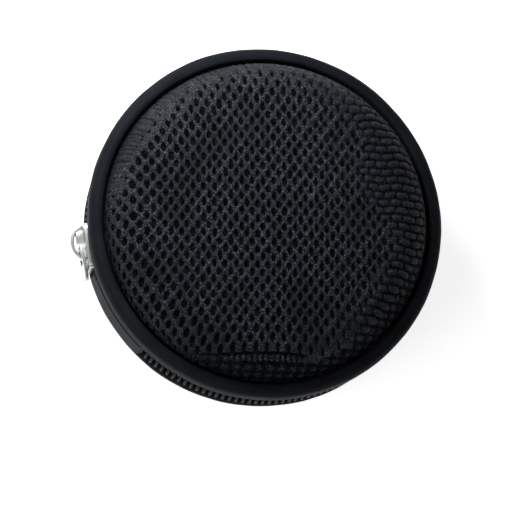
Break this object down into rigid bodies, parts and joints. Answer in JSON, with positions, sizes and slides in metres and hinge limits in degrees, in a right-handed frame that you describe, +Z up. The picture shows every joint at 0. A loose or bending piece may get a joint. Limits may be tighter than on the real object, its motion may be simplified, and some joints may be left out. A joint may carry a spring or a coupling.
{
  "type": "round hard case",
  "caption": "Small round zipped hard case: two moulded foam shells covered in air mesh, a coil zip with a metal slider, a fabric hinge and a net pocket in the lid.",
  "frame": {"origin": "centre of the flat bottom face, on the axis that the round case turns about", "axes": "+Z up through the lid, +Y towards the fabric hinge at the back, -Y towards the front where the case opens"},
  "size_m": [0.08, 0.0805, 0.036],
  "materials": {
    "foam": "matte",
    "air_mesh": "matte",
    "lining": "matte",
    "binding": "matte",
    "rim_fabric": "satin",
    "thread": "satin",
    "zip_tape": "matte",
    "zip_coil": "satin",
    "net": "matte",
    "elastic": "matte",
    "slider_metal": "polished"
  },
  "bodies": {
    "base": {"base_shell": "foam", "base_cover": "air_mesh", "base_lining": "lining", "base_binding": "binding", "base_band": "rim_fabric", "base_stitches": "thread", "lower_tape": "zip_tape", "lower_coil": "zip_coil", "hinge_strip": "rim_fabric", "hinge_lining": "lining"},
    "lid": {"lid_shell": "foam", "lid_cover": "air_mesh", "lid_lining": "lining", "lid_binding": "binding", "lid_band": "rim_fabric", "lid_stitches": "thread", "upper_tape": "zip_tape", "upper_coil": "zip_coil", "pocket_net": "net", "pocket_hem": "elastic"},
    "slider": {"slider_body": "slider_metal", "slider_bridge": "slider_metal"},
    "pull": {"pull_tab": "slider_metal"}
  },
  "joints": [
    {"name": "lid_hinge", "type": "hinge", "parent": "base", "child": "lid", "pos_m": [0, 0.0404, 0.018], "axis": [-1, 0, 0], "range_deg": [0, 165], "deforming": ["hinge_strip", "hinge_lining", "upper_tape", "upper_coil"]},
    {"name": "slider_travel", "type": "hinge", "parent": "base", "child": "slider", "pos_m": [0, 0, 0.018], "axis": [0, 0, 1], "range_deg": [-305, 0], "deforming": ["lower_coil"]},
    {"name": "pull_swing", "type": "hinge", "parent": "slider", "child": "pull", "pos_m": [0.01638, 0.0378, 0.018], "axis": [0, 0, -1], "range_deg": [0, 135]}
  ]
}
